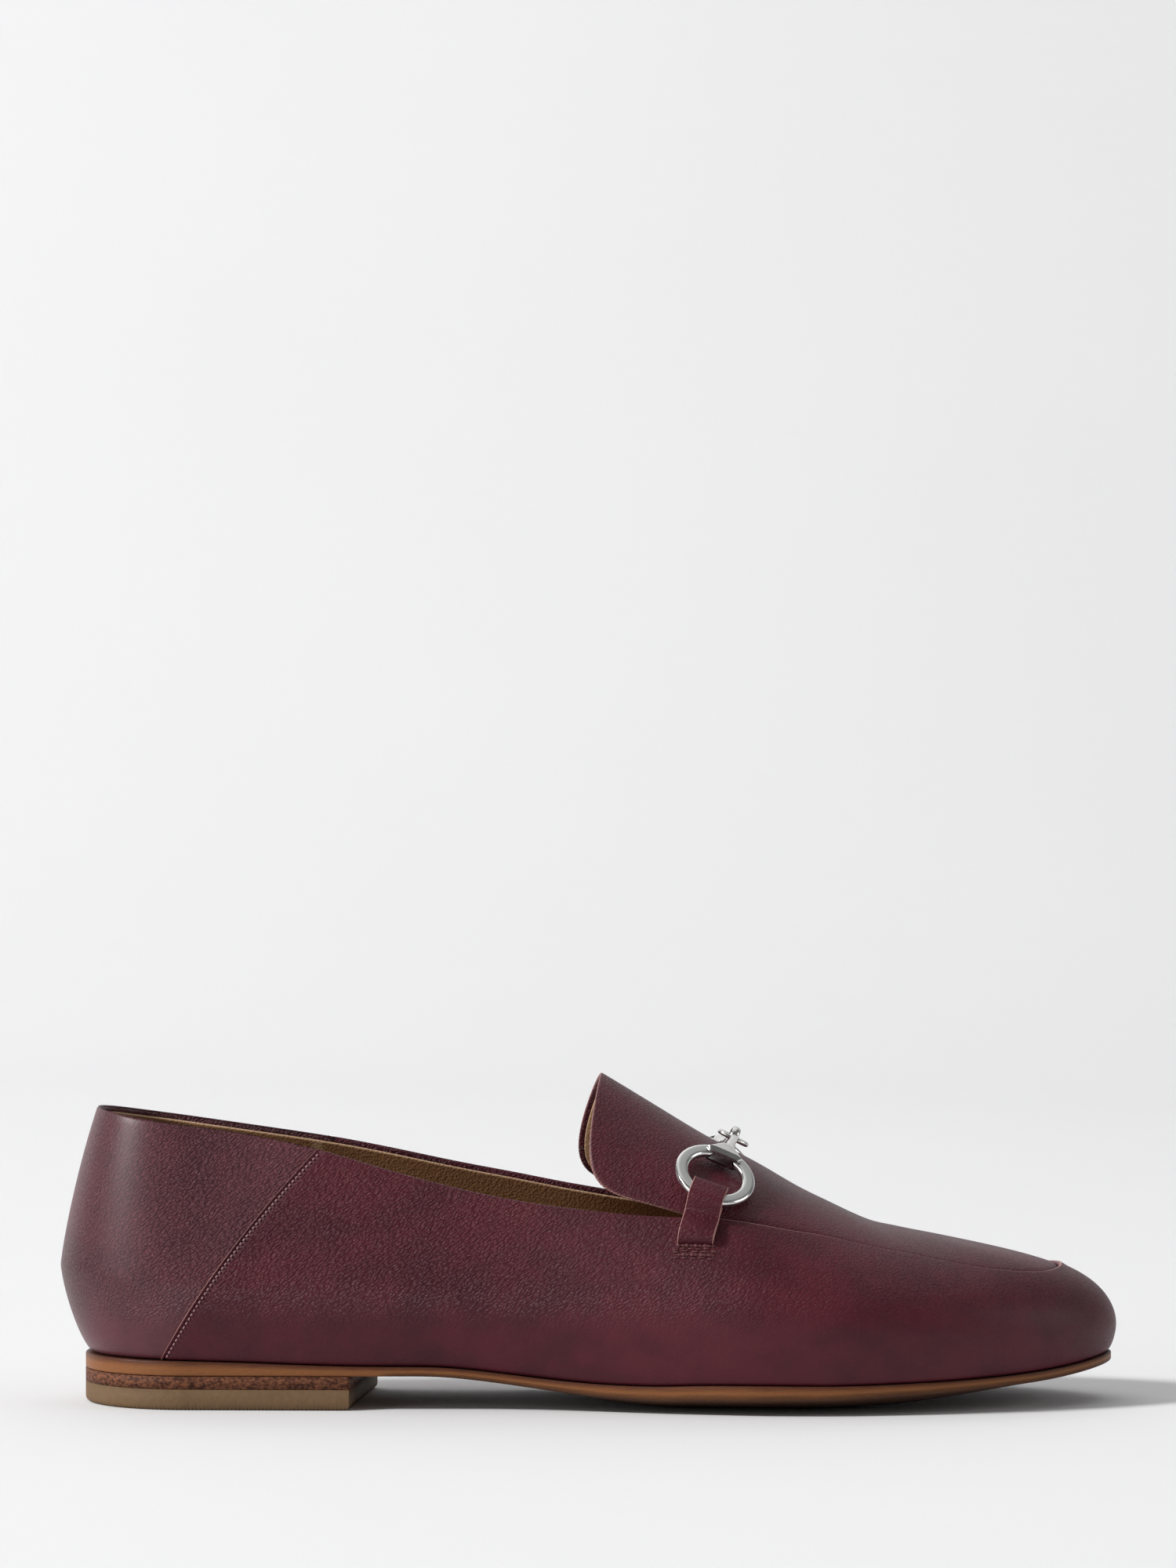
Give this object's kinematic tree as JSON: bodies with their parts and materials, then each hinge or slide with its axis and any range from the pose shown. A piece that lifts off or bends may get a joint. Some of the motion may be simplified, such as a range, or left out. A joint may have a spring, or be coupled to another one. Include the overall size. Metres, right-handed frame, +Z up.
{
  "type": "bit loafer",
  "caption": "Low-heeled leather slip-on shoe for the right foot with an apron front, a raised tongue and a metal bit across the vamp.",
  "frame": {"origin": "on the floor under the middle of the shoe's box", "axes": "+X towards the toe, +Y towards the inner side of the foot, +Z up"},
  "size_m": [0.2646, 0.0876, 0.0819],
  "materials": {
    "burgundy_leather": "soft gloss, finely grained",
    "sole_leather": "waxed edge",
    "leatherboard": "speckled edge",
    "rubber": "matt, fine tread",
    "tan_leather": "matt",
    "satin_metal": "satin",
    "polished_metal": "polished"
  },
  "bodies": {
    "shoe": {"outsole": "sole_leather", "heel_stack": "leatherboard", "heel_top_piece": "rubber", "upper": "burgundy_leather", "insole": "tan_leather", "bit_strap_outer": "burgundy_leather", "bit_strap_inner": "burgundy_leather", "bit_bar_outer": "polished_metal", "bit_bar_inner": "polished_metal"},
    "ring_outer": {"bit_ring_outer": "satin_metal"},
    "ring_inner": {"bit_ring_inner": "satin_metal"}
  },
  "joints": [
    {"name": "ring_outer_spin", "type": "hinge", "parent": "shoe", "child": "ring_outer", "pos_m": [0.03083, -0.02648, 0.05774], "axis": [0.271, -0.6153, 0.7403], "continuous": true},
    {"name": "ring_inner_spin", "type": "hinge", "parent": "shoe", "child": "ring_inner", "pos_m": [0.03058, 0.02737, 0.05608], "axis": [0.124, 0.7557, 0.6431], "continuous": true}
  ]
}
